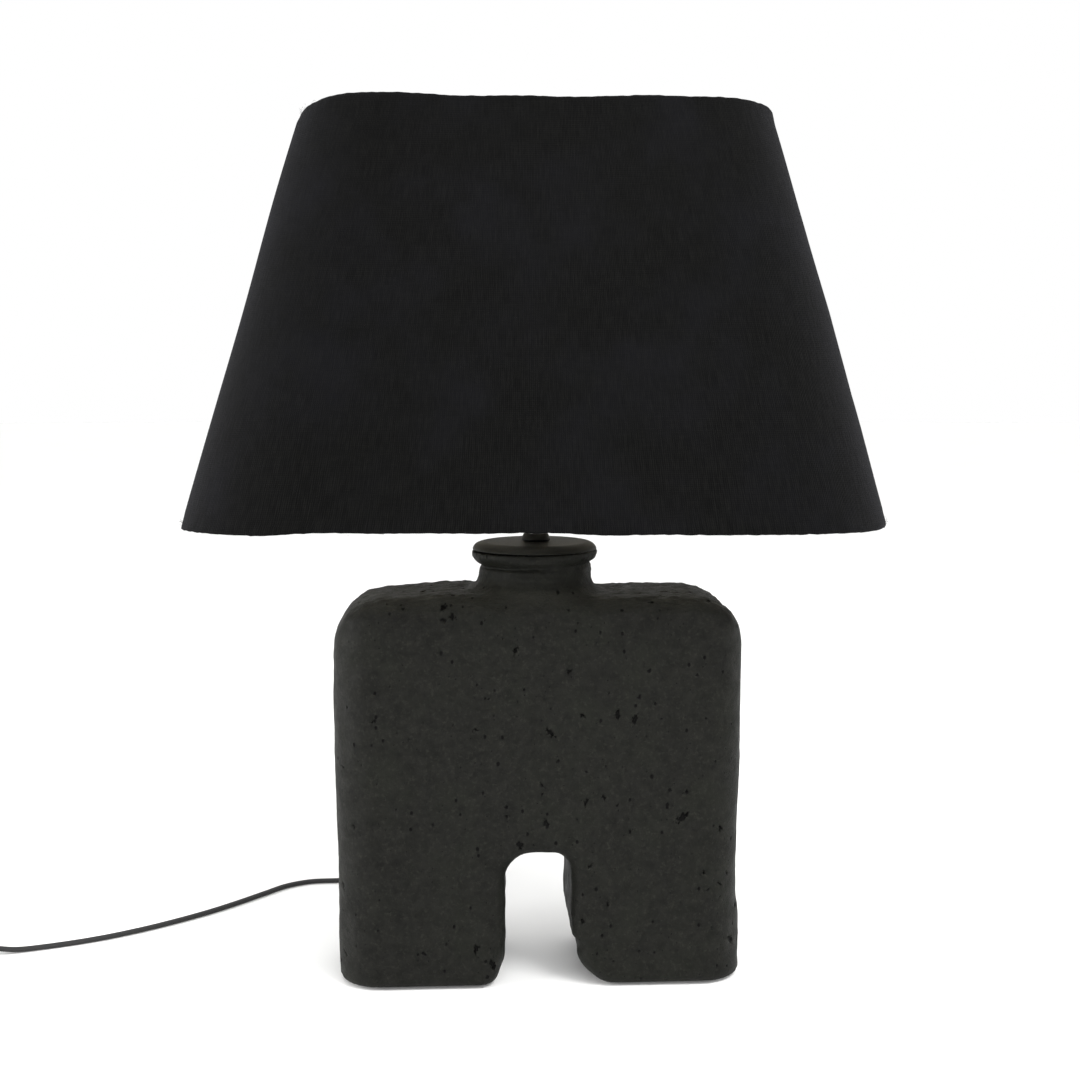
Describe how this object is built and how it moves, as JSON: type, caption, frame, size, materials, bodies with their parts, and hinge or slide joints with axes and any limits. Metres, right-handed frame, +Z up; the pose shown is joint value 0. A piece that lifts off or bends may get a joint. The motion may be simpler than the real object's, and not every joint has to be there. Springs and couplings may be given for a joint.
{
  "type": "table lamp",
  "caption": "Table lamp with an arched two-legged ceramic base, a tapered linen shade and a flat lead with inline switch and plug.",
  "frame": {"origin": "on the table, under the middle of the base; the bottom centre of the lamp without its lead", "axes": "+Z up along the stem, front of the lamp faces -Y, the lead leaves the back and runs off towards -X"},
  "size_m": [0.7619, 0.2536, 0.556],
  "materials": {
    "ceramic": "matt pitted charcoal stoneware",
    "felt": "pressed felt",
    "cap_metal": "satin gunmetal",
    "black_metal": "satin black",
    "zinc_steel": "zinc plated",
    "brass": "bare brass",
    "nickel": "nickel plated",
    "black_plastic": "moulded satin",
    "flex_sheath": "smooth black sheath",
    "porcelain": "glazed",
    "opal_glass": "frosted",
    "clear_glass": "clear",
    "filament_wire": "drawn tungsten",
    "linen": "black woven linen",
    "shade_lining": "satin off-white sheet",
    "white_wire": "white powder coat"
  },
  "bodies": {
    "root": {"base_body": "ceramic", "felt_pad_left": "felt", "felt_pad_right": "felt", "neck_cap": "cap_metal", "neck_nut": "black_metal", "stem_tube": "black_metal", "threaded_tube": "zinc_steel", "clamp_bar": "zinc_steel", "clamp_washer": "zinc_steel", "clamp_nut": "zinc_steel", "holder_cap": "black_plastic", "holder_shell": "black_plastic", "holder_insert": "porcelain", "terminal_screw_left": "brass", "terminal_screw_right": "brass", "screw_shell": "brass", "centre_contact": "brass", "inner_lead": "flex_sheath", "cord_gland": "black_plastic", "cord_lead": "flex_sheath", "cord_middle": "flex_sheath", "cord_tail": "flex_sheath", "cord_coil": "flex_sheath", "coil_tie": "felt", "switch_base": "black_plastic", "switch_cover": "black_plastic", "switch_contact": "brass", "switch_screw": "zinc_steel", "plug_body": "black_plastic", "plug_pin_left": "nickel", "plug_pin_right": "nickel"},
    "shade": {"shade_fabric": "linen", "shade_liner": "shade_lining", "top_wire": "white_wire", "bottom_wire": "white_wire", "fitter_ring": "white_wire", "fitter_arm_left": "white_wire", "fitter_arm_right": "white_wire", "fitter_arm_front": "white_wire", "fitter_arm_back": "white_wire"},
    "shade_ring": {"shade_ring": "black_plastic"},
    "bulb": {"bulb_glass": "opal_glass", "bulb_cap": "nickel", "bulb_insulator": "black_plastic", "bulb_contact": "zinc_steel", "bulb_stem": "clear_glass", "bulb_filament": "filament_wire"},
    "rocker": {"switch_rocker": "black_plastic"}
  },
  "joints": [
    {"name": "shade_swivel", "type": "hinge", "parent": "root", "child": "shade", "pos_m": [0, 0, 0.337], "axis": [0, 0, 1], "continuous": true},
    {"name": "shade_ring_travel", "type": "slide", "parent": "root", "child": "shade_ring", "axis": [0, 0, 1], "range_m": [0, 0.02]},
    {"name": "bulb_travel", "type": "slide", "parent": "root", "child": "bulb", "axis": [0, 0, 1], "range_m": [0, 0.032]},
    {"name": "switch_rock", "type": "hinge", "parent": "root", "child": "rocker", "pos_m": [-0.414, 0.0275, 0.0104], "axis": [0, -1, 0], "range_deg": [0, 14]}
  ]
}
